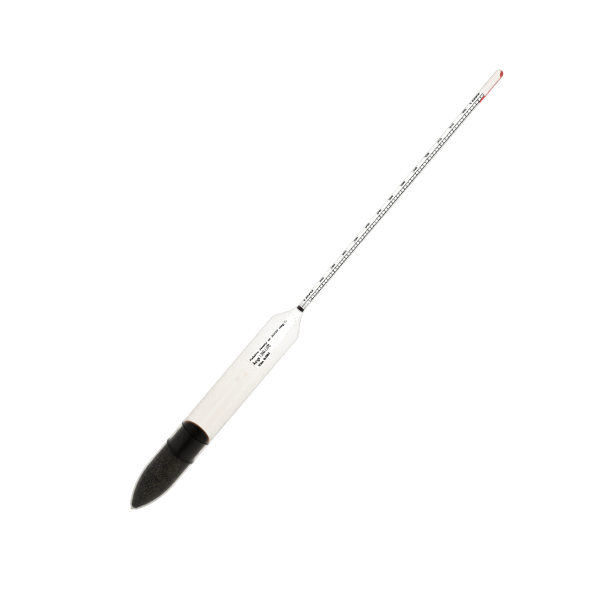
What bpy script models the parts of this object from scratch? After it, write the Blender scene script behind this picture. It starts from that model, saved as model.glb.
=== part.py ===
"""Brewing hydrometer: a sealed glass float with a weighted nose and a paper scale in its stem.

Units are metres, +Z runs up the stem, and the tip of the nose is at the origin. +X is the side
that the red lacquer lies on, and -Y is the side that the scale faces.
"""

import math

import bpy

MM = 0.001
GAP = 0.3 * MM  # clear gap between pieces that touch in the real object

# overall
TOTAL_LENGTH = 305.0 * MM
AROUND = 48  # steps round the float
AROUND_STEM = 32  # steps round the stem and what is in it

# glass float
BODY_RADIUS = 9.37 * MM
BODY_WALL = 0.8 * MM
NOSE_LENGTH = 27.0 * MM
BEAD_RADIUS = 1.05 * MM  # solid glass bead where the nose was drawn off and sealed
BEAD_WAIST = 0.97 * MM
NOSE_SOLID = 2.2 * MM  # solid glass ahead of the hollow
NOSE_CLOSE = 3.0 * MM  # length over which the hollow closes to its point
SHOULDER_START = 126.9 * MM
SHOULDER_BREAK = 131.65 * MM  # where the shoulder turns from convex to concave
SHOULDER_BREAK_RADIUS = 7.06 * MM
NECK_TOP = 141.6 * MM

# glass stem
STEM_RADIUS = 2.35 * MM
STEM_WALL = 0.3 * MM
STEM_BORE = STEM_RADIUS - STEM_WALL

# ballast in the nose, and the wax that shuts it in
PLUG_BOTTOM = 42.3 * MM
PLUG_TOP = 55.5 * MM
PLUG_DOME = 1.3 * MM  # how far the plug's lower face bulges into the shot
PLUG_DISH = 0.35 * MM  # how far its upper face sank as it set
PLUG_WAIST = 0.3 * MM  # how far its side shrank back from the glass between its two lips
LIP_LENGTH = 1.3 * MM
LIP_CLEARANCE = 0.06 * MM
SHOT_CLEARANCE = 0.12 * MM

# scale paper in the stem
SCALE_BOTTOM = 141.5 * MM
SCALE_TOP = 289.2 * MM
SCALE_RADIUS = 1.86 * MM  # outside of the roll
PAPER_THICKNESS = 0.12 * MM
SEAM_DEGREES = 14.0  # gap left at the seam of each roll

# label paper in the shoulder
LABEL_BOTTOM = 101.6 * MM
LABEL_TOP = 138.9 * MM
LABEL_BOTTOM_RADIUS = 3.85 * MM
LABEL_TOP_RADIUS = 1.84 * MM

# cement ring that fixes both papers in the neck
RING_BOTTOM = 139.3 * MM
RING_TOP = 141.3 * MM
RING_INNER_RADIUS = 1.25 * MM
RING_CLEARANCE = 0.04 * MM

# red lacquer run at the top of the scale
LACQUER_BOTTOM = 284.4 * MM
LACQUER_DEGREES = 136.0
LACQUER_THICKNESS = 0.1 * MM
LACQUER_CLEARANCE = 0.04 * MM
LACQUER_DOME_END = 6.0  # degrees short of the dome's centre


def clear_scene():
    for obj in list(bpy.data.objects):
        bpy.data.objects.remove(obj, do_unlink=True)


def make_material(name, colour, roughness, metallic=0.0, alpha=1.0, transmission=0.0):
    mat = bpy.data.materials.new(name)
    mat.use_nodes = True
    shader = mat.node_tree.nodes["Principled BSDF"]
    shader.inputs["Base Color"].default_value = (*colour, 1.0)
    shader.inputs["Roughness"].default_value = roughness
    shader.inputs["Metallic"].default_value = metallic
    shader.inputs["Alpha"].default_value = alpha
    shader.inputs["Transmission Weight"].default_value = transmission
    mat.diffuse_color = (*colour, alpha)
    return mat


def bezier(p0, p1, p2, p3, steps):
    """Points along a cubic curve, its first point included and its last left out."""
    points = []
    for i in range(steps):
        t = i / steps
        s = 1.0 - t
        x = s**3 * p0[0] + 3 * s * s * t * p1[0] + 3 * s * t * t * p2[0] + t**3 * p3[0]
        z = s**3 * p0[1] + 3 * s * s * t * p1[1] + 3 * s * t * t * p2[1] + t**3 * p3[1]
        points.append((x, z))
    return points


def arc(radius, centre_z, start, end, steps):
    """Points on an arc about the axis; angles are in degrees from +X towards +Z, both ends included."""
    points = []
    for i in range(steps + 1):
        a = math.radians(start + (end - start) * i / steps)
        points.append((max(radius * math.cos(a), 0.0), centre_z + radius * math.sin(a)))
    return points


def ogive_radius(z, radius, length):
    """Radius of a tangent ogive whose point is at z = 0 and which reaches full radius at length."""
    rho = (radius * radius + length * length) / (2.0 * radius)
    return math.sqrt(rho * rho - (length - z) ** 2) + radius - rho


def turned(name, profile, material, collection, steps, closed=True, angle=360.0):
    """One object turned about Z from a profile of (radius, height) points."""
    mesh = bpy.data.meshes.new(name)
    verts = [(r, 0.0, z) for r, z in profile]
    edges = [(i, i + 1) for i in range(len(verts) - 1)]
    if closed:
        edges.append((len(verts) - 1, 0))
    mesh.from_pydata(verts, edges, [])
    mesh.materials.append(material)
    obj = bpy.data.objects.new(name, mesh)
    collection.objects.link(obj)
    screw = obj.modifiers.new("turn", "SCREW")
    screw.axis = "Z"
    screw.angle = math.radians(angle)
    screw.steps = steps
    screw.render_steps = steps
    screw.use_merge_vertices = angle == 360.0
    screw.merge_threshold = 0.00001
    screw.use_smooth_shade = True
    return obj


def thicken(obj, thickness, offset):
    shell = obj.modifiers.new("wall", "SOLIDIFY")
    shell.thickness = thickness
    shell.offset = offset
    shell.use_rim = True
    shell.use_even_offset = True
    return obj


def hollow_radius(z):
    """Radius of the hollow at height z below the shoulder: one wall inside the nose, closing to a point."""
    if z >= NOSE_LENGTH:
        return BODY_RADIUS - BODY_WALL
    rho = (BODY_RADIUS * BODY_RADIUS + NOSE_LENGTH * NOSE_LENGTH) / (2.0 * BODY_RADIUS)
    arc_radius = math.sqrt((rho - BODY_WALL) ** 2 - (NOSE_LENGTH - z) ** 2)
    closing = min(max((z - NOSE_SOLID) / NOSE_CLOSE, 0.0), 1.0)
    return (arc_radius + BODY_RADIUS - rho) * (1.0 - (1.0 - closing) ** 2)


def shoulder(offset, steps):
    """Outside of the shoulder from the neck down to the body, moved in by the wall offset."""
    neck = (STEM_RADIUS - offset * STEM_WALL / BODY_WALL, NECK_TOP)
    turn = (SHOULDER_BREAK_RADIUS - offset * 0.72, SHOULDER_BREAK - offset * 0.6)
    body = (BODY_RADIUS - offset, SHOULDER_START - offset * 0.35)
    flare = bezier(
        neck,
        (neck[0] + 0.3 * MM, NECK_TOP - 4.1 * MM),
        (turn[0] - 1.41 * MM, turn[1] + 1.36 * MM),
        turn,
        steps,
    )
    crown = bezier(
        turn,
        (turn[0] + 0.5 * MM, turn[1] - 0.48 * MM),
        (body[0], body[1] + 1.1 * MM),
        body,
        steps,
    )
    return flare + crown


def float_profile():
    """Down the outside from the neck to the tip, then up the hollow to the neck again."""
    outside = shoulder(0.0, 9)
    outside.append((BODY_RADIUS, SHOULDER_START))
    outside.append((BODY_RADIUS, (SHOULDER_START + NOSE_LENGTH) / 2))
    nose_steps = 16
    blend_z = 4.4 * MM
    for i in range(nose_steps + 1):
        z = NOSE_LENGTH + (blend_z - NOSE_LENGTH) * i / nose_steps
        outside.append((ogive_radius(z, BODY_RADIUS, NOSE_LENGTH), z))
    waist_z = 2.25 * MM
    foot = (ogive_radius(blend_z, BODY_RADIUS, NOSE_LENGTH), blend_z)
    outside += bezier(foot, (2.3 * MM, 3.3 * MM), (1.15 * MM, 2.75 * MM), (BEAD_WAIST, waist_z), 4)[1:]
    outside.append((BEAD_WAIST, waist_z))
    outside += arc(BEAD_RADIUS, BEAD_RADIUS, 38.0, -90.0, 8)
    inside = []
    hollow = BODY_RADIUS - BODY_WALL
    for i in range(nose_steps + 1):
        z = NOSE_SOLID + (NOSE_LENGTH - NOSE_SOLID) * (i / nose_steps) ** 1.35
        inside.append((hollow_radius(z), z))
    inside[0] = (0.0, NOSE_SOLID)
    inside.append((hollow, (SHOULDER_START + NOSE_LENGTH) / 2))
    inner = shoulder(BODY_WALL, 9)
    inside.append((hollow, SHOULDER_START - BODY_WALL * 0.35))
    inside += list(reversed(inner))
    return outside + inside


def stem_profile():
    bottom = NECK_TOP + GAP
    centre = TOTAL_LENGTH - STEM_RADIUS
    outside = arc(STEM_RADIUS, centre, 90.0, 0.0, 9)
    outside.append((STEM_RADIUS, (centre + bottom) / 2))
    outside.append((STEM_RADIUS, bottom))
    inside = [(STEM_BORE, bottom), (STEM_BORE, (centre + bottom) / 2)]
    inside += arc(STEM_BORE, centre, 0.0, 90.0, 8)
    return outside + inside


def plug_profile():
    lip = BODY_RADIUS - BODY_WALL - LIP_CLEARANCE
    side = lip - PLUG_WAIST
    points = [(0.0, PLUG_TOP - PLUG_DISH)]
    points += [(lip * 0.55, PLUG_TOP - PLUG_DISH * 0.8), (lip * 0.86, PLUG_TOP - PLUG_DISH * 0.4)]
    points += [(lip, PLUG_TOP), (lip, PLUG_TOP - LIP_LENGTH)]
    points += [(side, PLUG_TOP - LIP_LENGTH * 1.6), (side, PLUG_BOTTOM + LIP_LENGTH * 1.6)]
    points += [(lip, PLUG_BOTTOM + LIP_LENGTH)]
    steps = 6
    for i in range(steps + 1):
        r = lip * (1.0 - i / steps)
        points.append((r, PLUG_BOTTOM - PLUG_DOME * (1.0 - (r / lip) ** 2)))
    return points


def shot_profile():
    """The bed of shot: its top is hollowed to take the plug, and its side follows the nose."""
    top = PLUG_BOTTOM - GAP
    outer = hollow_radius(top) - SHOT_CLEARANCE
    points = []
    steps = 6
    for i in range(steps + 1):
        r = outer * i / steps
        points.append((r, top - PLUG_DOME * (1.0 - (r / outer) ** 2)))
    low = NOSE_SOLID + 0.7 * MM
    side_steps = 16
    for i in range(side_steps + 1):
        z = NOSE_LENGTH + (low - NOSE_LENGTH) * (i / side_steps) ** 0.8
        points.append((hollow_radius(z) - SHOT_CLEARANCE * 1.25, z))
    points.append((0.0, NOSE_SOLID + 0.25 * MM))
    return points


def rolled_paper(name, profile, material, collection):
    """A sheet rolled round Z with its seam at the back, open along the seam."""
    roll = turned(name, profile, material, collection, AROUND_STEM, False, 360.0 - SEAM_DEGREES)
    roll.rotation_euler = (0.0, 0.0, math.radians(90.0 + SEAM_DEGREES / 2))
    return thicken(roll, PAPER_THICKNESS, 0.0)


def label_profile():
    """The label flares like a trumpet from the neck to its lower edge."""
    points = []
    steps = 8
    for i in range(steps + 1):
        t = i / steps
        r = LABEL_TOP_RADIUS + (LABEL_BOTTOM_RADIUS - LABEL_TOP_RADIUS) * t**0.9
        points.append((r - PAPER_THICKNESS / 2, LABEL_TOP + (LABEL_BOTTOM - LABEL_TOP) * t))
    return points


def lacquer_profile():
    wall = STEM_BORE - LACQUER_CLEARANCE - LACQUER_THICKNESS / 2
    centre = TOTAL_LENGTH - STEM_RADIUS
    points = arc(wall, centre, 90.0 - LACQUER_DOME_END, 0.0, 7)
    points.append((wall, (centre + LACQUER_BOTTOM) / 2))
    points.append((wall, LACQUER_BOTTOM))
    return points


clear_scene()
hydrometer = bpy.data.collections.new("hydrometer")
bpy.context.scene.collection.children.link(hydrometer)

glass = make_material("clear_glass", (0.96, 0.97, 0.96), 0.03, 0.0, 0.35, 0.9)
paper = make_material("scale_paper", (0.93, 0.92, 0.89), 0.85)
wax = make_material("black_wax", (0.022, 0.019, 0.017), 0.22)
shot = make_material("lead_shot", (0.045, 0.041, 0.032), 0.6, 0.3)
cement = make_material("black_cement", (0.012, 0.010, 0.009), 0.3)
lacquer = make_material("red_lacquer", (0.68, 0.045, 0.03), 0.3)

turned("float_body", float_profile(), glass, hydrometer, AROUND)
turned("stem_tube", stem_profile(), glass, hydrometer, AROUND_STEM)
turned("shot_bed", shot_profile(), shot, hydrometer, AROUND)
turned("wax_plug", plug_profile(), wax, hydrometer, AROUND)

scale_mid = SCALE_RADIUS - PAPER_THICKNESS / 2
rolled_paper("scale_paper", [(scale_mid, SCALE_TOP), (scale_mid, SCALE_BOTTOM)], paper, hydrometer)
rolled_paper("label_paper", label_profile(), paper, hydrometer)

ring_outer = STEM_BORE - RING_CLEARANCE
ring = [
    (ring_outer, RING_TOP),
    (ring_outer, RING_BOTTOM),
    (RING_INNER_RADIUS, RING_BOTTOM),
    (RING_INNER_RADIUS, RING_TOP),
]
turned("scale_collar", ring, cement, hydrometer, AROUND_STEM)

run = turned("fixing_lacquer", lacquer_profile(), lacquer, hydrometer, 12, False, LACQUER_DEGREES)
run.rotation_euler = (0.0, 0.0, math.radians(-LACQUER_DEGREES / 2))
thicken(run, LACQUER_THICKNESS, 0.0)
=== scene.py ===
"""A brewing hydrometer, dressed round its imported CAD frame: metres, +Z up the stem, tip at the origin."""

import math
import random

import bmesh
import bpy
from mathutils import Matrix, Vector, noise

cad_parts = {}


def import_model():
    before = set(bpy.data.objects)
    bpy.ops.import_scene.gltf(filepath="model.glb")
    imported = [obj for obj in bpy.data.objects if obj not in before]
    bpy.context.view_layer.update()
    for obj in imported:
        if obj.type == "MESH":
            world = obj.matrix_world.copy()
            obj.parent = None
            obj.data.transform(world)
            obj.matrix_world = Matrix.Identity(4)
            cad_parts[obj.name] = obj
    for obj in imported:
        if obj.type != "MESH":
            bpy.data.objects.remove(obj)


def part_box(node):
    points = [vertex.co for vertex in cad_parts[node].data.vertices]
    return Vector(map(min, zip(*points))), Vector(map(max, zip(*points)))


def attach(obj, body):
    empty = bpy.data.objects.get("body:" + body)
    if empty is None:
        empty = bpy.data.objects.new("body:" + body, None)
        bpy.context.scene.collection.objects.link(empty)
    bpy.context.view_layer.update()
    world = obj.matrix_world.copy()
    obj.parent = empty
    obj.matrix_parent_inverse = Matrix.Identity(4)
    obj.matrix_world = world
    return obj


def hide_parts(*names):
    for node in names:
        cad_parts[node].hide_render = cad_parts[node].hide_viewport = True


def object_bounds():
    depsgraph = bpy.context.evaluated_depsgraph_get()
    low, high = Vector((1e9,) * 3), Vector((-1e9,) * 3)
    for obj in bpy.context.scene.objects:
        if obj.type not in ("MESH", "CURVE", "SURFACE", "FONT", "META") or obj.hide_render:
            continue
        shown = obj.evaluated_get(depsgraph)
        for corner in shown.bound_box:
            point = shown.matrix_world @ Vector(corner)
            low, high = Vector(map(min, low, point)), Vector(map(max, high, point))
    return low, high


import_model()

MM = 0.001
CAD_LOW, CAD_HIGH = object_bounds()
RNG = random.Random(7)

# ---------------------------------------------------------------- sizes taken from the frame
LENGTH = CAD_HIGH.z
BODY_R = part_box("float_body")[1].x
NECK_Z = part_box("float_body")[1].z
STEM_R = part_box("stem_tube")[1].x
PLUG_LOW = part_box("wax_plug")[0].z
PLUG_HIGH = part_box("wax_plug")[1].z
SHOT_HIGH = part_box("shot_bed")[1].z
PAPER_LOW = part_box("scale_paper")[0].z
PAPER_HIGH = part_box("scale_paper")[1].z
PAPER_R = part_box("scale_paper")[1].x
LABEL_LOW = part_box("label_paper")[0].z
LABEL_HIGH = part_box("label_paper")[1].z
RING_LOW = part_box("scale_collar")[0].z
RING_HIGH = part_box("scale_collar")[1].z
RUN_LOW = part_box("fixing_lacquer")[0].z

# ---------------------------------------------------------------- sizes of the glass, as in the CAD
BODY_WALL = 0.8 * MM
STEM_BORE = STEM_R - 0.3 * MM
NOSE = 27.0 * MM
NOSE_SOLID = 2.2 * MM
NOSE_CLOSE = 3.0 * MM
HOLLOW_R = BODY_R - BODY_WALL
SHOULDER_Z = 126.9 * MM
BREAK = (7.06 * MM, 131.65 * MM)
BEAD_R = 1.05 * MM
BEAD_WAIST = (0.97 * MM, 2.25 * MM)
DOME_Z = LENGTH - STEM_R
LABEL_LOW_R, LABEL_HIGH_R = 3.85 * MM, 1.84 * MM

# ---------------------------------------------------------------- sizes of the details
STEM_WALL_SHARE = 0.3 * MM / BODY_WALL  # the stem's wall as a share of the body's
WET = 0.015 * MM  # how far the wax that wets the glass is bedded in it
PIP_DEEP = 0.48 * MM  # the drop of glass left inside the dome
PAPER_THICK, LABEL_THICK = 0.06 * MM, 0.07 * MM
GLYPH_CAP = 0.70  # height of a capital in the font's own units
GLYPH_SLICE = 0.07  # glyphs are cut this finely, in the same units, to follow the roll


# ---------------------------------------------------------------- curves and meshes
def bezier(p0, p1, p2, p3, steps):
    """Points along a cubic curve, first included and last left out."""
    out = []
    for i in range(steps):
        t = i / steps
        s = 1.0 - t
        w = (s**3, 3 * s * s * t, 3 * s * t * t, t**3)
        pts = (p0, p1, p2, p3)
        out.append(tuple(sum(w[k] * pts[k][a] for k in range(4)) for a in (0, 1)))
    return out


def arc(radius, centre, start, end, steps):
    """Points on an arc about a centre on the axis, in degrees from the radial direction upward."""
    out = []
    for i in range(steps + 1):
        a = math.radians(start + (end - start) * i / steps)
        out.append((max(radius * math.cos(a), 0.0), centre + radius * math.sin(a)))
    return out


def line(p, q, steps):
    """Points from p towards q, q left out."""
    return [(p[0] + (q[0] - p[0]) * i / steps, p[1] + (q[1] - p[1]) * i / steps) for i in range(steps)]


def ogive(z, radius, length):
    rho = (radius * radius + length * length) / (2.0 * radius)
    return math.sqrt(max(rho * rho - (length - z) ** 2, 0.0)) + radius - rho


def hollow_radius(z):
    """The hollow below the shoulder: one wall inside the nose, closing to a point."""
    if z >= NOSE:
        return HOLLOW_R
    rho = (BODY_R * BODY_R + NOSE * NOSE) / (2.0 * BODY_R)
    arc_r = math.sqrt((rho - BODY_WALL) ** 2 - (NOSE - z) ** 2)
    closing = clamp01((z - NOSE_SOLID) / NOSE_CLOSE)
    return (arc_r + BODY_R - rho) * (1.0 - (1.0 - closing) ** 2)


def shoulder(wall, steps):
    """The shoulder from neck to body, moved in by the wall."""
    neck = (STEM_R - wall * STEM_WALL_SHARE, NECK_Z)
    turn = (BREAK[0] - wall * 0.72, BREAK[1] - wall * 0.6)
    body = (BODY_R - wall, SHOULDER_Z - wall * 0.35)
    flare = bezier(neck, (neck[0] + 0.3 * MM, NECK_Z - 4.1 * MM),
                   (turn[0] - 1.41 * MM, turn[1] + 1.36 * MM), turn, steps)
    crown = bezier(turn, (turn[0] + 0.5 * MM, turn[1] - 0.48 * MM),
                   (body[0], body[1] + 1.1 * MM), body, steps)
    return flare + crown


def new_object(name, bm, smooth=True):
    mesh = bpy.data.meshes.new(name)
    bm.to_mesh(mesh)
    bm.free()
    for p in mesh.polygons:
        p.use_smooth = smooth
    obj = bpy.data.objects.new(name, mesh)
    bpy.context.scene.collection.objects.link(obj)
    return obj


def turned(bm, profile, steps, closed=False, shape=None):
    """Adds a surface turned about Z. Profile points run down the outside; ends on the axis close."""
    rings = []
    for r, z in profile:
        if r < 1e-7:
            rings.append([bm.verts.new((0.0, 0.0, z))])
            continue
        ring = []
        for i in range(steps):
            a = 2 * math.pi * i / steps
            co = Vector((r * math.cos(a), r * math.sin(a), z))
            ring.append(bm.verts.new(shape(co, a) if shape else co))
        rings.append(ring)
    pairs = list(zip(rings, rings[1:]))
    if closed:
        pairs.append((rings[-1], rings[0]))
    for upper, lower in pairs:
        for i in range(steps):
            j = (i + 1) % steps
            a, b = upper[i % len(upper)], upper[j % len(upper)]
            c, d = lower[j % len(lower)], lower[i % len(lower)]
            corners = [v for k, v in enumerate((a, d, c, b)) if v not in (a, d, c, b)[:k]]
            if len(corners) > 2:
                bm.faces.new(corners)


def close_sheets(bm, outer, inner):
    """Closes two grids of vertices, given as rows from one end to the other, into one thin body."""
    rows, steps = len(outer) - 1, len(outer[0]) - 1
    for j in range(rows):
        for i in range(steps):
            bm.faces.new((outer[j][i], outer[j][i + 1], outer[j + 1][i + 1], outer[j + 1][i]))
            bm.faces.new((inner[j][i + 1], inner[j][i], inner[j + 1][i], inner[j + 1][i + 1]))
        bm.faces.new((outer[j][0], outer[j + 1][0], inner[j + 1][0], inner[j][0]))
        bm.faces.new((outer[j + 1][steps], outer[j][steps], inner[j][steps], inner[j + 1][steps]))
    for i in range(steps):
        bm.faces.new((outer[0][i + 1], outer[0][i], inner[0][i], inner[0][i + 1]))
        bm.faces.new((outer[rows][i], outer[rows][i + 1], inner[rows][i + 1], inner[rows][i]))


def clamp01(value):
    return max(min(value, 1.0), 0.0)


# ---------------------------------------------------------------- node helpers
def material(name):
    mat = bpy.data.materials.new(name)
    mat.use_nodes = True
    nt = mat.node_tree
    return mat, nt, nt.nodes["Principled BSDF"]


def add(nt, kind, **values):
    node = nt.nodes.new(kind)
    for key, value in values.items():
        if key in node.inputs:
            node.inputs[key].default_value = value
        else:
            setattr(node, key, value)
    return node


def noise_node(nt, scale, detail=3.0, rough=0.5, stretch=(1.0, 1.0, 1.0)):
    """3-D noise in the frame's own coordinates, in millimetres."""
    mapping = add(nt, "ShaderNodeMapping")
    mapping.inputs["Scale"].default_value = [k / MM for k in stretch]
    nt.links.new(add(nt, "ShaderNodeTexCoord").outputs["Object"], mapping.inputs["Vector"])
    node = add(nt, "ShaderNodeTexNoise", Scale=scale, Detail=detail, Roughness=rough)
    nt.links.new(mapping.outputs["Vector"], node.inputs["Vector"])
    return node


def ramp(nt, source, stops):
    """A colour ramp; each stop is a position with a colour."""
    node = add(nt, "ShaderNodeValToRGB")
    node.color_ramp.elements[0].position = stops[0][0]
    node.color_ramp.elements[0].color = (*stops[0][1], 1.0)
    node.color_ramp.elements[1].position = stops[-1][0]
    node.color_ramp.elements[1].color = (*stops[-1][1], 1.0)
    for pos, colour in stops[1:-1]:
        node.color_ramp.elements.new(pos).color = (*colour, 1.0)
    nt.links.new(source, node.inputs["Fac"])
    return node.outputs["Color"]


def to_range(nt, source, low, high, from_low=0.0, from_high=1.0):
    """Maps from_low..from_high to low..high, clamped."""
    node = add(nt, "ShaderNodeMapRange")
    node.inputs["From Min"].default_value = from_low
    node.inputs["From Max"].default_value = from_high
    node.inputs["To Min"].default_value = low
    node.inputs["To Max"].default_value = high
    nt.links.new(source, node.inputs["Value"])
    return node.outputs["Result"]


def maths(nt, operation, first, second=None):
    """A Math node; each input is a socket or a number."""
    node = add(nt, "ShaderNodeMath", operation=operation)
    for socket, value in zip(node.inputs, (first, second)):
        if isinstance(value, float):
            socket.default_value = value
        elif value is not None:
            nt.links.new(value, socket)
    return node.outputs[0]


def blend(nt, factor, first, second):
    """A colour mix; each colour is a socket or a fixed colour."""
    node = add(nt, "ShaderNodeMix", data_type="RGBA")
    nt.links.new(factor, node.inputs["Factor"])
    for name, value in (("A", first), ("B", second)):
        if isinstance(value, tuple):
            node.inputs[name].default_value = (*value, 1.0)
        else:
            nt.links.new(value, node.inputs[name])
    return node.outputs["Result"]


def object_xyz(nt):
    """The frame's own coordinates, as separate X, Y and Z."""
    split = add(nt, "ShaderNodeSeparateXYZ")
    nt.links.new(add(nt, "ShaderNodeTexCoord").outputs["Object"], split.inputs["Vector"])
    return split.outputs["X"], split.outputs["Y"], split.outputs["Z"]


def bump(nt, shader, source, strength, distance):
    node = add(nt, "ShaderNodeBump", Strength=strength, Distance=distance)
    nt.links.new(source, node.inputs["Height"])
    nt.links.new(node.outputs["Normal"], shader.inputs["Normal"])


# ---------------------------------------------------------------- materials
def glass_material():
    """Clear glass, straw-coloured in streaks along the body, with a small amber stain on its wall."""
    mat, nt, glass = material("clear_glass")
    glass.inputs["Transmission Weight"].default_value = 1.0
    glass.inputs["IOR"].default_value = 1.5
    streak = noise_node(nt, 0.30, 2.0, 0.55, stretch=(1.0, 1.0, 0.035))
    straw = [(0.35, (0.972, 0.958, 0.934)), (0.5, (0.966, 0.945, 0.914)), (0.66, (0.957, 0.929, 0.890))]
    tone = ramp(nt, streak.outputs["Fac"], straw)
    off = add(nt, "ShaderNodeVectorMath", operation="SUBTRACT")
    nt.links.new(add(nt, "ShaderNodeTexCoord").outputs["Object"], off.inputs[0])
    off.inputs[1].default_value = (-0.5 * MM, -9.0 * MM, 95.0 * MM)
    size = add(nt, "ShaderNodeVectorMath", operation="DIVIDE")
    nt.links.new(off.outputs[0], size.inputs[0])
    size.inputs[1].default_value = (3.2 * MM, 6.0 * MM, 7.0 * MM)
    far = add(nt, "ShaderNodeVectorMath", operation="LENGTH")
    nt.links.new(size.outputs[0], far.inputs[0])
    blot = noise_node(nt, 0.25, 3.0, 0.6)
    stain = maths(nt, "MULTIPLY", to_range(nt, far.outputs["Value"], 1.0, 0.0, 0.35, 1.0),
                  to_range(nt, blot.outputs["Fac"], 0.0, 1.0, 0.42, 0.56))
    height = to_range(nt, object_xyz(nt)[2], 0.0, 1.0, 0.0, LENGTH)
    paler = ramp(nt, height, [(0.25, (0.0, 0.0, 0.0)), (0.40, (1.0, 1.0, 1.0)),
                              (0.945, (1.0, 1.0, 1.0)), (0.955, (0.3, 0.3, 0.3))])
    body = blend(nt, paler, tone, (1.0, 0.998, 0.990))
    nt.links.new(blend(nt, stain, body, (0.955, 0.90, 0.83)), glass.inputs["Base Color"])
    haze = noise_node(nt, 0.35, 2.0, stretch=(1.0, 1.0, 0.25))
    nt.links.new(to_range(nt, haze.outputs["Fac"], 0.0, 0.02, 0.35, 0.75), glass.inputs["Roughness"])
    wave = noise_node(nt, 0.22, 1.0, stretch=(1.0, 1.0, 0.12))
    bump(nt, glass, wave.outputs["Fac"], 0.2, 0.04 * MM)
    path = add(nt, "ShaderNodeLightPath")
    through = add(nt, "ShaderNodeBsdfTransparent")
    through.inputs["Color"].default_value = (0.985, 0.985, 0.98, 1.0)
    switch = add(nt, "ShaderNodeMixShader")
    nt.links.new(path.outputs["Is Shadow Ray"], switch.inputs["Fac"])
    nt.links.new(glass.outputs["BSDF"], switch.inputs[1])
    nt.links.new(through.outputs["BSDF"], switch.inputs[2])
    out = nt.nodes["Material Output"]
    nt.links.new(switch.outputs["Shader"], out.inputs["Surface"])
    absorb = add(nt, "ShaderNodeVolumeAbsorption")
    absorb.inputs["Color"].default_value = (0.95, 0.91, 0.84, 1.0)
    absorb.inputs["Density"].default_value = 30.0
    nt.links.new(absorb.outputs["Volume"], out.inputs["Volume"])
    return mat


def shot_material():
    """Dull dark shot, a little lighter in patches."""
    mat, nt, shader = material("ballast_shot")
    broad = noise_node(nt, 0.20, 3.0, 0.6)
    base = ramp(nt, broad.outputs["Fac"], [(0.30, (0.009, 0.0085, 0.007)), (0.52, (0.017, 0.0155, 0.0115)),
                                           (0.75, (0.033, 0.030, 0.018))])
    nt.links.new(base, shader.inputs["Base Color"])
    fine = noise_node(nt, 1.7, 3.0, 0.6)
    nt.links.new(to_range(nt, fine.outputs["Fac"], 0.55, 0.85), shader.inputs["Roughness"])
    shader.inputs["Specular IOR Level"].default_value = 0.12
    bump(nt, shader, fine.outputs["Fac"], 0.3, 0.05 * MM)
    return mat


def wax_material():
    """Black wax with a brown skin on the far side of its top edge, and a painted reflection down its front: a
    darker streak, lighter to either side.
    """
    mat, nt, shader = material("black_wax")
    x, y, z = object_xyz(nt)
    plane = add(nt, "ShaderNodeCombineXYZ")
    nt.links.new(x, plane.inputs["X"])
    nt.links.new(y, plane.inputs["Y"])
    flat = add(nt, "ShaderNodeVectorMath", operation="LENGTH")
    nt.links.new(plane.outputs["Vector"], flat.inputs[0])
    rim = to_range(nt, flat.outputs["Value"], 1.0, 0.0, HOLLOW_R - 0.02 * MM, HOLLOW_R)
    high = to_range(nt, z, 0.0, 1.0, PLUG_HIGH - 0.34 * MM, PLUG_HIGH - 0.1 * MM)
    far_side = to_range(nt, y, 0.0, 1.0, -3.0 * MM, 1.0 * MM)
    skin = maths(nt, "MULTIPLY", maths(nt, "MULTIPLY", rim, high), far_side)
    blot = noise_node(nt, 0.35, 3.0, 0.6)
    # painted reflection: a darker streak down the front of the wax where it faces the camera, lighter to
    # either side
    width = to_range(nt, z, 0.25 * MM, 1.7 * MM, PLUG_LOW, PLUG_HIGH)
    wander = to_range(nt, blot.outputs["Fac"], -0.5 * MM, 0.3 * MM, 0.3, 0.7)
    reflection_offset = maths(nt, "ABSOLUTE", maths(nt, "DIVIDE", maths(nt, "SUBTRACT", x, wander), width))
    streak = ramp(nt, to_range(nt, reflection_offset, 0.0, 1.0, 0.6, 1.6),
                  [(0.0, (0.0008, 0.0008, 0.0008)), (1.0, (0.0042, 0.0038, 0.003))])
    tops = to_range(nt, z, 0.0, 1.0, PLUG_HIGH - 0.9 * MM, PLUG_HIGH - 0.6 * MM)
    dark = blend(nt, tops, streak, (0.0022, 0.0016, 0.0012))
    brown = ramp(nt, blot.outputs["Fac"], [(0.3, (0.16, 0.055, 0.018)), (0.7, (0.42, 0.17, 0.06))])
    nt.links.new(blend(nt, skin, dark, brown), shader.inputs["Base Color"])
    below = to_range(nt, z, 1.0, 0.0, PLUG_HIGH - 0.8 * MM, PLUG_HIGH - 0.6 * MM)
    gloss = maths(nt, "MULTIPLY", below, to_range(nt, blot.outputs["Fac"], 0.34, 0.26))
    nt.links.new(gloss, shader.inputs["Specular IOR Level"])
    nt.links.new(to_range(nt, blot.outputs["Fac"], 0.12, 0.26), shader.inputs["Roughness"])
    ripple = noise_node(nt, 0.5, 2.0, 0.5)
    bump(nt, shader, ripple.outputs["Fac"], 0.3, 0.10 * MM)
    return mat


def paper_material(name, tone):
    """White paper with a fine fibre."""
    mat, nt, shader = material(name)
    fibre = noise_node(nt, 2.2, 4.0, 0.65, stretch=(1.0, 1.0, 0.35))
    low = tuple(c * 0.96 for c in tone)
    nt.links.new(ramp(nt, fibre.outputs["Fac"], [(0.3, low), (0.7, tone)]), shader.inputs["Base Color"])
    nt.links.new(to_range(nt, fibre.outputs["Fac"], 0.7, 0.95), shader.inputs["Roughness"])
    bump(nt, shader, fibre.outputs["Fac"], 0.3, 0.02 * MM)
    return mat


def ink_material():
    """Black ink, unevenly laid."""
    mat, nt, shader = material("printing_ink")
    grain = noise_node(nt, 3.0, 3.0, 0.6)
    black = ramp(nt, grain.outputs["Fac"], [(0.3, (0.006, 0.006, 0.007)), (0.75, (0.035, 0.033, 0.034))])
    nt.links.new(black, shader.inputs["Base Color"])
    nt.links.new(to_range(nt, grain.outputs["Fac"], 0.45, 0.75), shader.inputs["Roughness"])
    return mat


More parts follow.
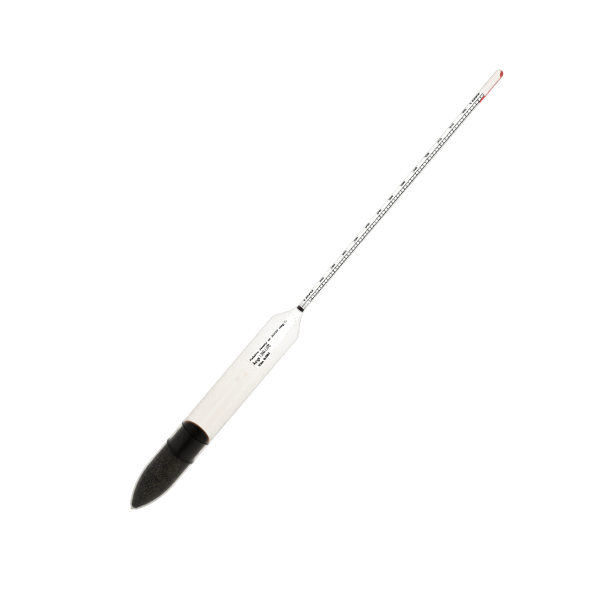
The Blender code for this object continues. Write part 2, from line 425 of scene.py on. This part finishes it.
def cement_material():
    """Black cement with a painted brown highlight near its upper edge."""
    mat, nt, shader = material("black_cement")
    blot = noise_node(nt, 0.8, 3.0, 0.6)
    # painted highlight: a brown patch at the upper front of the ring, where the light catches it
    off = add(nt, "ShaderNodeVectorMath", operation="DISTANCE")
    nt.links.new(add(nt, "ShaderNodeTexCoord").outputs["Object"], off.inputs[0])
    off.inputs[1].default_value = (-1.25 * MM, -1.6 * MM, RING_HIGH - 0.6 * MM)
    spot = to_range(nt, off.outputs["Value"], 1.0, 0.0, 0.25 * MM, 0.85 * MM)
    black = ramp(nt, blot.outputs["Fac"], [(0.35, (0.003, 0.0027, 0.0025)), (0.7, (0.008, 0.006, 0.005))])
    # colour of the painted brown highlight
    brown = ramp(nt, blot.outputs["Fac"], [(0.35, (0.05, 0.018, 0.007)), (0.7, (0.17, 0.07, 0.03))])
    nt.links.new(blend(nt, spot, black, brown), shader.inputs["Base Color"])
    nt.links.new(to_range(nt, blot.outputs["Fac"], 0.18, 0.42), shader.inputs["Roughness"])
    bump(nt, shader, blot.outputs["Fac"], 0.5, 0.1 * MM)
    return mat


def lacquer_material():
    """Red lacquer, a little darker in patches."""
    mat, nt, shader = material("red_lacquer")
    blot = noise_node(nt, 0.9, 3.0, 0.6, stretch=(1.0, 1.0, 0.4))
    red = ramp(nt, blot.outputs["Fac"], [(0.3, (0.64, 0.035, 0.026)), (0.7, (0.84, 0.085, 0.062))])
    nt.links.new(red, shader.inputs["Base Color"])
    nt.links.new(to_range(nt, blot.outputs["Fac"], 0.2, 0.4), shader.inputs["Roughness"])
    shader.inputs["Coat Weight"].default_value = 0.4
    bump(nt, shader, blot.outputs["Fac"], 0.4, 0.06 * MM)
    return mat


# ---------------------------------------------------------------- the glass envelope, one fused piece
def glass_envelope(mat):
    """Float and stem as one sealed body of glass: an outer skin and the face of the hollow."""
    bm = bmesh.new()
    steps = 128
    outside = arc(STEM_R, DOME_Z, 90.0, 0.0, 16)[:-1]
    outside += line((STEM_R, DOME_Z), (STEM_R, NECK_Z), 40)
    outside += shoulder(0.0, 22)
    outside += line((BODY_R, SHOULDER_Z), (BODY_R, NOSE), 24)
    nose_end = 4.4 * MM  # where the nose begins to draw in to the bead
    for i in range(37):
        z = NOSE + (nose_end - NOSE) * i / 36
        outside.append((ogive(z, BODY_R, NOSE), z))
    outside += bezier(outside[-1], (2.3 * MM, 3.3 * MM), (1.15 * MM, 2.75 * MM), BEAD_WAIST, 8)[1:]
    outside.append(BEAD_WAIST)
    outside += arc(BEAD_R, BEAD_R, 38.0, -90.0, 14)

    inside = []
    for i in range(45):
        z = NOSE_SOLID + (NOSE - NOSE_SOLID) * (i / 44) ** 1.5
        inside.append((hollow_radius(z), z))
    inside[0] = (0.0, NOSE_SOLID)
    hollow_end = (HOLLOW_R, SHOULDER_Z - BODY_WALL * 0.35)
    inside += line(inside[-1], hollow_end, 24)[1:] + [hollow_end]
    inside += list(reversed(shoulder(BODY_WALL, 22)))
    inside += line((STEM_BORE, NECK_Z + 1.0 * MM), (STEM_BORE, DOME_Z), 40)
    inside += arc(STEM_BORE, DOME_Z, 0.0, 80.0, 16)
    root = inside[-1]
    tip = (0.0, root[1] - PIP_DEEP)
    inside += bezier(root, (0.27 * MM, root[1] + 0.03 * MM), (0.38 * MM, tip[1] + 0.03 * MM), tip, 7)[1:]
    inside.append(tip)
    turned(bm, outside, steps)
    turned(bm, inside, steps)
    obj = new_object("glass_envelope", bm)
    obj.data.materials.append(mat)
    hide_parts("float_body", "stem_tube")
    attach(obj, "root")


# ---------------------------------------------------------------- ballast and plug
def ballast(mat):
    """Fine shot set in dark resin: a core with grains bedded in its side."""
    skin, grain, dome = 0.13 * MM, 0.5 * MM, 1.3 * MM
    clear = 0.05 * MM  # no grain comes nearer to the glass
    low = NOSE_SOLID + 0.6 * MM
    brim = HOLLOW_R - skin - grain
    core = [(brim * i / 8, SHOT_HIGH - 0.1 * MM - dome * (1.0 - (i / 8) ** 2)) for i in range(9)]
    for i in range(1, 60):
        z = SHOT_HIGH + (low - SHOT_HIGH) * i / 59
        sunk = grain * 0.55 * min((z - low) / (6.0 * MM), 1.0)
        core.append((max(hollow_radius(z) - skin - sunk, 0.08 * MM), z))
    core.append((0.0, low - 0.3 * MM))
    bm = bmesh.new()
    turned(bm, core, 64)
    bm.verts.index_update()
    verts = [v.co.copy() for v in bm.verts]
    faces = [[v.index for v in f.verts] for f in bm.faces]
    bm.free()
    bm = bmesh.new()
    bmesh.ops.create_icosphere(bm, subdivisions=2, radius=1.0)
    bm.verts.index_update()
    ball = [v.co.copy() for v in bm.verts]
    shell = [[v.index for v in f.verts] for f in bm.faces]
    bm.free()
    z, row = low + 0.35 * MM, 0
    while z < SHOT_HIGH - grain * 0.6:
        r = hollow_radius(z) - skin - grain
        count = max(int(2 * math.pi * r / (grain * 2.0)), 3)
        start = (row % 2) * math.pi / count + RNG.uniform(-0.2, 0.2)
        for k in range(count if r > grain * 0.5 else 0):
            a = start + 2 * math.pi * k / count + RNG.uniform(-0.36, 0.36) / count
            size = grain * RNG.uniform(0.8, 1.0)
            out = r + (grain - size) - RNG.uniform(0.0, 0.18) * grain
            spin = Matrix.Rotation(RNG.uniform(0, 3.1), 3, "Z") @ Matrix.Rotation(RNG.uniform(0, 3.1), 3, "X")
            squash = [size * RNG.uniform(0.85, 1.0) for _ in range(2)]
            spin = spin @ Matrix.Diagonal((size, *squash))
            place = Vector((out * math.cos(a), out * math.sin(a), z + RNG.uniform(-0.2, 0.2) * grain))
            base = len(verts)
            verts.extend(spin @ co + place for co in ball)
            faces.extend([base + n for n in face] for face in shell)
        z += grain * 1.7
        row += 1
    for co in verts:
        reach = math.hypot(co.x, co.y)
        room = max(hollow_radius(max(co.z, low)) - clear, clear)
        if reach > room:
            co.x *= room / reach
            co.y *= room / reach
    mesh = bpy.data.meshes.new("ballast_shot")
    mesh.from_pydata(verts, [], faces)
    for face in mesh.polygons:
        face.use_smooth = True
    obj = bpy.data.objects.new("ballast_shot", mesh)
    bpy.context.scene.collection.objects.link(obj)
    obj.data.materials.append(mat)
    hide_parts("shot_bed")
    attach(obj, "root")


def wax_plug(mat):
    """Poured wax: its two rims wet the glass, and its side has drawn back between them."""
    bm = bmesh.new()
    touch = HOLLOW_R + WET
    side = HOLLOW_R - 0.42 * MM
    low = PLUG_LOW + 1.3 * MM
    top = [(0.0, PLUG_HIGH - 0.5 * MM)]
    top += bezier((touch * 0.12, PLUG_HIGH - 0.5 * MM), (touch * 0.6, PLUG_HIGH - 0.5 * MM),
                  (touch * 0.94, PLUG_HIGH - 0.42 * MM), (touch, PLUG_HIGH), 16)
    top += [(touch, PLUG_HIGH), (touch, PLUG_HIGH - 0.4 * MM), (touch, PLUG_HIGH - 0.8 * MM)]
    top += bezier((touch - 0.04 * MM, PLUG_HIGH - 0.9 * MM), (side + 0.08 * MM, PLUG_HIGH - 1.5 * MM),
                  (side, PLUG_HIGH - 2.1 * MM), (side, PLUG_HIGH - 2.8 * MM), 9)
    top += line((side, PLUG_HIGH - 2.8 * MM), (side, low + 2.6 * MM), 14)
    top += bezier((side, low + 2.6 * MM), (side, low + 2.1 * MM),
                  (side, low + 1.7 * MM), (touch, low + 1.5 * MM), 7)
    top += [(touch, low + 1.5 * MM), (touch, low + 0.75 * MM), (touch, low)]
    top += [(touch * (1 - i / 12), low - 1.3 * MM * (1 - (1 - i / 12) ** 2)) for i in range(1, 13)]

    def uneven(co, a):
        r = math.hypot(co.x, co.y)
        if r > HOLLOW_R - 0.05 * MM and co.z < low + 2.0 * MM:
            push = 0.25 * MM * noise.noise(Vector((math.cos(a) * 1.7, math.sin(a) * 1.7, 0.3)))
            return Vector((co.x, co.y, co.z + push - 0.25 * MM * (1.0 + math.cos(a))))
        if r > HOLLOW_R - 0.05 * MM and co.z < PLUG_HIGH - 0.6 * MM:
            push = 0.2 * MM * noise.noise(Vector((math.cos(a) * 2.3, math.sin(a) * 2.3, 5.0)))
            return Vector((co.x, co.y, co.z + push))
        if side - 1e-6 < r and co.z < PLUG_HIGH - 1.0 * MM:
            wob = 0.10 * MM * noise.noise(Vector((co.x / MM * 0.4, co.y / MM * 0.4, co.z / MM * 0.35)))
            return Vector((co.x * (1 - wob / r), co.y * (1 - wob / r), co.z))
        return co

    turned(bm, top, 96, shape=uneven)
    # flecks of wax left on the glass: turn in degrees, height and half sizes in millimetres
    flecks = ((178.0, 49.4, 0.5, 1.0), (171.0, 48.5, 0.3, 0.5),
              (186.0, 50.6, 0.25, 0.4), (4.0, 46.4, 0.25, 0.45))
    for turn, z, wide, tall in flecks:
        spot = Matrix.Translation((HOLLOW_R - 0.04 * MM, 0.0, z * MM))
        place = Matrix.Rotation(math.radians(turn), 4, "Z") @ spot
        form = Matrix.Diagonal((0.055 * MM, wide * MM, tall * MM, 1.0))
        bmesh.ops.create_icosphere(bm, subdivisions=3, radius=1.0, matrix=place @ form)
    obj = new_object("wax_plug_body", bm)
    obj.data.materials.append(mat)
    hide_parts("wax_plug")
    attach(obj, "root")


# ---------------------------------------------------------------- rolled papers
class Roll:
    """A sheet rolled round Z. The angle phi is 0 where the sheet faces -Y and grows towards +X."""

    def __init__(self, radius, start, end, pitch):
        self.radius, self.start, self.end, self.pitch = radius, start, end, pitch

    def r(self, phi, z):
        return self.radius(z) + self.pitch * (phi - self.start) / (self.end - self.start)

    def point(self, phi, z, lift=0.0):
        a = math.radians(phi)
        r = self.r(phi, z) + lift
        return Vector((r * math.sin(a), -r * math.cos(a), z))


def rolled_sheet(name, roll, heights, steps, thickness, mat, cad):
    bm = bmesh.new()
    grid = []
    for lift in (0.0, -thickness):
        face = []
        for z in heights:
            row = [bm.verts.new(roll.point(roll.start + (roll.end - roll.start) * i / steps, z, lift))
                   for i in range(steps + 1)]
            face.append(row)
        grid.append(face)
    close_sheets(bm, *grid)
    obj = new_object(name, bm)
    obj.data.materials.append(mat)
    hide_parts(cad)
    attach(obj, "root")


class Print:
    """Printing on a roll, as thin closed ink shapes. Flat x runs up the stem and flat y towards -X."""

    def __init__(self, roll, lift=0.004 * MM, depth=0.010 * MM):
        self.roll, self.lift, self.depth, self.bm = roll, lift, depth, bmesh.new()

    def place(self, z, s, phi0, up):
        r = self.roll.r(phi0, z)
        phi = phi0 - math.degrees(s / r)
        return self.roll.point(phi, z, self.lift + (self.depth if up else 0.0))

    def bar(self, z0, z1, s0, s1, phi0, parts_z=1, parts_s=1):
        """A bar from height z0 to z1, and from s0 to s1 across, measured from phi0 towards -X."""
        verts = {}
        for up in (0, 1):
            for i in range(parts_z + 1):
                for j in range(parts_s + 1):
                    z = z0 + (z1 - z0) * i / parts_z
                    s = s0 + (s1 - s0) * j / parts_s
                    verts[up, i, j] = self.bm.verts.new(self.place(z, s, phi0, up))
        for i in range(parts_z):
            for j in range(parts_s):
                top = [verts[1, i, j], verts[1, i + 1, j], verts[1, i + 1, j + 1], verts[1, i, j + 1]]
                low = [verts[0, i, j + 1], verts[0, i + 1, j + 1], verts[0, i + 1, j], verts[0, i, j]]
                self.bm.faces.new(top)
                self.bm.faces.new(low)
        for i in range(parts_z):
            for j, flip in ((0, False), (parts_s, True)):
                quad = [verts[0, i, j], verts[0, i + 1, j], verts[1, i + 1, j], verts[1, i, j]]
                self.bm.faces.new(quad[::-1] if flip else quad)
        for j in range(parts_s):
            for i, flip in ((0, True), (parts_z, False)):
                quad = [verts[0, i, j], verts[0, i, j + 1], verts[1, i, j + 1], verts[1, i, j]]
                self.bm.faces.new(quad[::-1] if flip else quad)

    def text(self, words, z, phi0, height, width, s0=0.0, bold=0.0):
        """Words that start at height z with their foot at phi0, squeezed or stretched to width."""
        curve = bpy.data.curves.new("words", "FONT")
        curve.body = words
        curve.size = 1.0
        curve.resolution_u = 3
        curve.offset = bold
        maker = bpy.data.objects.new("words", curve)
        bpy.context.scene.collection.objects.link(maker)
        bpy.context.view_layer.update()
        mesh = bpy.data.meshes.new_from_object(maker.evaluated_get(bpy.context.evaluated_depsgraph_get()))
        bpy.data.objects.remove(maker)
        bpy.data.curves.remove(curve)
        xs = [v.co.x for v in mesh.vertices]
        ys = [v.co.y for v in mesh.vertices]
        low_x, span = min(xs), max(xs) - min(xs)
        piece = bmesh.new()
        piece.from_mesh(mesh)
        bpy.data.meshes.remove(mesh)
        bmesh.ops.remove_doubles(piece, verts=piece.verts, dist=1e-5)
        for i in range(int(min(ys) / GLYPH_SLICE) - 1, int(max(ys) / GLYPH_SLICE) + 2):
            every = list(piece.verts) + list(piece.edges) + list(piece.faces)
            bmesh.ops.bisect_plane(piece, geom=every, dist=1e-6,
                                   plane_co=(0.0, i * GLYPH_SLICE, 0.0), plane_no=(0.0, 1.0, 0.0))
        upper, lower = {}, {}
        for v in piece.verts:
            along = z + (v.co.x - low_x) / span * width
            across = s0 + v.co.y / GLYPH_CAP * height
            upper[v] = self.bm.verts.new(self.place(along, across, phi0, 1))
            lower[v] = self.bm.verts.new(self.place(along, across, phi0, 0))
        for f in piece.faces:
            self.bm.faces.new([upper[v] for v in f.verts])
            self.bm.faces.new([lower[v] for v in reversed(f.verts)])
        for e in (e for e in piece.edges if e.is_boundary):
            loop = e.link_loops[0]
            a, b = loop.vert, loop.link_loop_next.vert
            self.bm.faces.new((lower[a], lower[b], upper[b], upper[a]))
        piece.free()

    def finish(self, name, mat):
        bmesh.ops.recalc_face_normals(self.bm, faces=self.bm.faces)
        obj = new_object(name, self.bm, smooth=False)
        obj.data.materials.append(mat)
        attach(obj, "root")
        return obj


TOP_MARK = 284.0 * MM  # where the topmost number stands
STEP_LENGTH = 2073.0 * MM  # volume of the float over the stem's section
RAIL_A, RAIL_B = -1.0, 46.0


def mark_height(density):
    return TOP_MARK - STEP_LENGTH * (1.0 - 1.0 / density)


def scale_print(roll, mat):
    ink = Print(roll)
    r = roll.r(0.0, 0.2)
    across = math.radians(RAIL_B - RAIL_A) * r
    rail_low, rail_high = PAPER_LOW + 0.05 * MM, PAPER_HIGH - 0.8 * MM
    wide = 0.17 * MM
    ink.bar(rail_low, rail_high, -wide, wide, RAIL_A, 40, 2)
    first = mark_height(1.071)
    ink.bar(rail_low, first - 0.9 * MM, -across - wide * 0.7, -across + wide * 0.7, RAIL_A, 2, 2)
    ink.bar(first - 0.2 * MM, rail_high, -across - wide * 2.0, -across + wide * 1.8, RAIL_A, 40, 5)
    for n in range(998, 1072):
        z = mark_height(n / 1000)
        half = 0.18 * MM if n % 5 else 0.24 * MM
        ink.bar(z - half, z + half, -across, 0.0, RAIL_A, 1, 8)
        if n % 5 == 0 and n not in (1000, 1070):
            ink.bar(z - 0.06 * MM, z + 0.06 * MM, 0.0, 1.6 * MM, RAIL_A, 1, 8)
    foot = 1.08 * MM
    for n in range(1000, 1071, 5):
        z = mark_height(n / 1000)
        if n in (1000, 1070):
            ink.text("%.3f" % (n / 1000), z - 3.75 * MM, RAIL_A, 1.6 * MM, 7.5 * MM, foot, 0.075)
        else:
            ink.text("%03d" % (n - 1000), z + 0.25 * MM, RAIL_A, 1.6 * MM, 3.1 * MM, foot, 0.075)
    ink.finish("scale_markings", mat)


def label_print(roll, mat):
    ink = Print(roll)
    low = LABEL_LOW + 1.0 * MM
    pen = low
    for words, width in (("Relative", 6.5), ("density", 6.0), ("at", 1.8), ("20/20", 5.2), ("deg C", 5.9)):
        ink.text(words, pen, -35.5, 1.5 * MM, width * MM, 0.0, 0.05)
        pen += (width + 0.72) * MM
    pen = low
    for words, width in (("Range", 4.6), ("1.000-1.070", 7.8)):
        ink.text(words, pen, 8.5, 1.75 * MM, width * MM, -0.15 * MM, 0.045)
        pen += (width + 0.65) * MM
    ink.text("Div. 0.001", low + 0.9 * MM, 59.0, 1.6 * MM, 8.8 * MM, 0.0, 0.1)
    ink.finish("label_markings", mat)


# ---------------------------------------------------------------- collar and lacquer
def collar(mat):
    bm = bmesh.new()
    outer, inner = STEM_BORE - 0.03 * MM, 1.25 * MM
    mid = (RING_LOW + RING_HIGH) / 2
    half = (RING_HIGH - RING_LOW) / 2
    steps, power = 28, 0.45  # a section between a circle and a square
    loop = []
    for i in range(steps):
        a = 2 * math.pi * i / steps
        c, s = math.cos(a), math.sin(a)
        loop.append(((outer + inner) / 2 + (outer - inner) / 2 * math.copysign(abs(c) ** power, c),
                     mid - half * math.copysign(abs(s) ** power, s)))

    def rough(co, a):
        lift = 0.16 * MM * noise.noise(Vector((math.cos(a) * 1.3, math.sin(a) * 1.3, co.z / MM * 0.3)))
        return Vector((co.x, co.y, min(max(co.z + lift, RING_LOW), RING_HIGH)))

    turned(bm, loop, 64, closed=True, shape=rough)
    bmesh.ops.recalc_face_normals(bm, faces=bm.faces)
    obj = new_object("cement_ring", bm)
    obj.data.materials.append(mat)
    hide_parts("scale_collar")
    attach(obj, "root")


def lacquer_run(mat):
    """A run of lacquer wetting the inside of the dome and stem, wider at the paper's end."""
    bm = bmesh.new()
    outer = STEM_BORE + 0.02 * MM
    path = arc(outer, DOME_Z, 79.0, 0.0, 26)
    path += line((outer, DOME_Z), (outer, RUN_LOW), 60)[1:] + [(outer, RUN_LOW)]
    across = 16
    tilt, cap = math.radians(46.0), math.radians(50.0)  # on the dome, a round patch leaning to one side
    sheets = []
    for inward in (0.0, 1.0):
        sheet = []
        for r, z in path:
            half = 23.0 + 4.0 * noise.noise(Vector((3.1, 0.0, z / MM * 0.35)))
            half += 27.0 * (1.0 - clamp01((z - RUN_LOW - 3.4 * MM) / (1.4 * MM)))
            if z > DOME_Z:
                up = (z - DOME_Z) / outer
                edge = (math.cos(cap) - up * math.cos(tilt)) / (math.sqrt(1.0 - up * up) * math.sin(tilt))
                half = math.degrees(math.acos(max(min(edge, 1.0), -1.0)))
            thick = 0.08 * MM + 0.03 * MM * clamp01((z - DOME_Z) / (0.8 * MM))
            row = []
            for i in range(across + 1):
                t = i / across * 2 - 1
                a = math.radians(90.0 + half * t)
                bulge = thick * max(1.0 - t * t, 0.0) ** 0.25 + 0.01 * MM
                rr = r - inward * bulge * (r / outer)
                zz = z - inward * bulge * (1 - r / outer)
                row.append(bm.verts.new((rr * math.sin(a), -rr * math.cos(a), zz)))
            sheet.append(row)
        sheets.append(sheet)
    close_sheets(bm, *sheets)
    bmesh.ops.recalc_face_normals(bm, faces=bm.faces)
    obj = new_object("lacquer_run", bm)
    obj.data.materials.append(mat)
    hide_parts("fixing_lacquer")
    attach(obj, "root")


# ---------------------------------------------------------------- stage, light and camera
def stage():
    bm = bmesh.new()
    bmesh.ops.create_grid(bm, x_segments=1, y_segments=1, size=6.0)
    floor = new_object("floor", bm, smooth=False)
    floor.location = (0.0, 0.0, -0.2 * MM)
    mat, _, shader = material("pale_floor")
    shader.inputs["Base Color"].default_value = (0.93, 0.93, 0.93, 1.0)
    shader.inputs["Roughness"].default_value = 0.9
    shader.inputs["Specular IOR Level"].default_value = 0.0
    floor.data.materials.append(mat)
    floor.visible_glossy = False
    floor.visible_transmission = False


def world():
    """White for the lens and through the glass; in mirror images, white behind and a dim room in front."""
    scene = bpy.context.scene
    scene.world = bpy.data.worlds.new("studio")
    scene.world.use_nodes = True
    nt = scene.world.node_tree
    out = nt.nodes["World Output"]
    nt.nodes.remove(nt.nodes["Background"])
    path = add(nt, "ShaderNodeLightPath")
    lit = add(nt, "ShaderNodeBackground", Strength=1.5)
    seen = add(nt, "ShaderNodeBackground", Strength=1.09)
    room = add(nt, "ShaderNodeBackground", Strength=1.0)
    lit.inputs["Color"].default_value = (1.0, 1.0, 1.0, 1.0)
    seen.inputs["Color"].default_value = (1.0, 1.0, 1.0, 1.0)
    split = add(nt, "ShaderNodeSeparateXYZ")
    nt.links.new(add(nt, "ShaderNodeTexCoord").outputs["Generated"], split.inputs["Vector"])
    level = ramp(nt, to_range(nt, split.outputs["Y"], 0.0, 1.0, -1.0, 1.0),
                 [(0.0, (0.010, 0.010, 0.010)), (0.04, (0.024, 0.024, 0.022)), (0.12, (0.085, 0.083, 0.077)),
                  (0.5, (0.165, 0.161, 0.150)), (0.8, (0.56, 0.55, 0.53)), (1.0, (1.0, 1.0, 1.0))])
    nt.links.new(level, room.inputs["Color"])

    def over_zero(socket):
        return maths(nt, "GREATER_THAN", socket, 0.5)

    def choose(pick, first, second):
        mix = add(nt, "ShaderNodeMixShader")
        nt.links.new(pick, mix.inputs["Fac"])
        nt.links.new(first, mix.inputs[1])
        nt.links.new(second, mix.inputs[2])
        return mix.outputs["Shader"]

    straight = maths(nt, "MAXIMUM", path.outputs["Is Camera Ray"], path.outputs["Is Transmission Ray"])
    direct = choose(straight, lit.outputs[0], seen.outputs[0])
    mirrored = choose(over_zero(path.outputs["Glossy Depth"]), direct, room.outputs[0])
    final = choose(over_zero(path.outputs["Diffuse Depth"]), mirrored, lit.outputs[0])
    nt.links.new(final, out.inputs["Surface"])


def soft_box(name, place, size, energy):
    data = bpy.data.lights.new(name, "AREA")
    data.shape = "RECTANGLE"
    data.size, data.size_y = size
    data.energy = energy
    lamp = bpy.data.objects.new(name, data)
    bpy.context.scene.collection.objects.link(lamp)
    lamp.location = place
    aim = Vector((0.0, 0.0, 0.14)) - Vector(place)
    lamp.rotation_euler = aim.to_track_quat("-Z", "Y").to_euler()
    lamp.visible_camera = False
    lamp.visible_glossy = False
    lamp.visible_transmission = False


def camera():
    """Close and square on to the stem, rolled so that the stem points to the upper right."""
    distance, aside, height = 240.695 * MM, -3.2269 * MM, 143.6764 * MM
    roll = math.radians(40.20)
    data = bpy.data.cameras.new("camera")
    data.sensor_fit = "HORIZONTAL"
    data.sensor_width = 36.0
    data.lens = 27.3
    data.clip_start, data.clip_end = 0.01, 50.0
    cam = bpy.data.objects.new("camera", data)
    bpy.context.scene.collection.objects.link(cam)
    right = Vector((math.cos(roll), 0.0, math.sin(roll)))
    up = Vector((-math.sin(roll), 0.0, math.cos(roll)))
    back = Vector((0.0, -1.0, 0.0))
    turn = Matrix((right, up, back)).transposed().to_4x4()
    place = Vector((aside, -distance, height))
    cam.matrix_world = Matrix.Translation(place) @ turn
    bpy.context.scene.camera = cam


def look():
    scene = bpy.context.scene
    scene.view_settings.view_transform = "Standard"
    scene.view_settings.look = "None"
    scene.cycles.max_bounces = 24
    scene.cycles.transmission_bounces = 20
    scene.cycles.glossy_bounces = 8
    scene.cycles.transparent_max_bounces = 24
    scene.cycles.caustics_refractive = True
    scene.cycles.caustics_reflective = False
    scene.cycles.filter_width = 1.15


glass = glass_material()
paper = paper_material("scale_paper", (0.93, 0.93, 0.925))
ink = ink_material()
glass_envelope(glass)
ballast(shot_material())
wax_plug(wax_material())

scale_roll = Roll(lambda z: PAPER_R - PAPER_THICK, -205.0, 205.0, 0.10 * MM)
scale_heights = [PAPER_LOW + (PAPER_HIGH - PAPER_LOW) * i / 30 for i in range(31)]
rolled_sheet("scale_sheet", scale_roll, scale_heights, 96, PAPER_THICK, paper, "scale_paper")
scale_print(scale_roll, ink)


def label_radius(z):
    t = (LABEL_HIGH - z) / (LABEL_HIGH - LABEL_LOW)
    return LABEL_HIGH_R + (LABEL_LOW_R - LABEL_HIGH_R) * max(t, 0.0) ** 0.9 - PAPER_THICK


label_roll = Roll(label_radius, -200.0, 196.0, 0.12 * MM)
label_heights = [LABEL_LOW + (LABEL_HIGH - LABEL_LOW) * i / 36 for i in range(37)]
rolled_sheet("label_sheet", label_roll, label_heights, 96, LABEL_THICK, paper, "label_paper")
label_print(label_roll, ink)
collar(cement_material())
lacquer_run(lacquer_material())

stage()
world()
soft_box("key", (-0.55, -0.75, 0.75), (0.7, 0.7), 3.0)
soft_box("fill", (0.7, -0.45, 0.35), (0.6, 0.6), 1.5)
camera()
look()
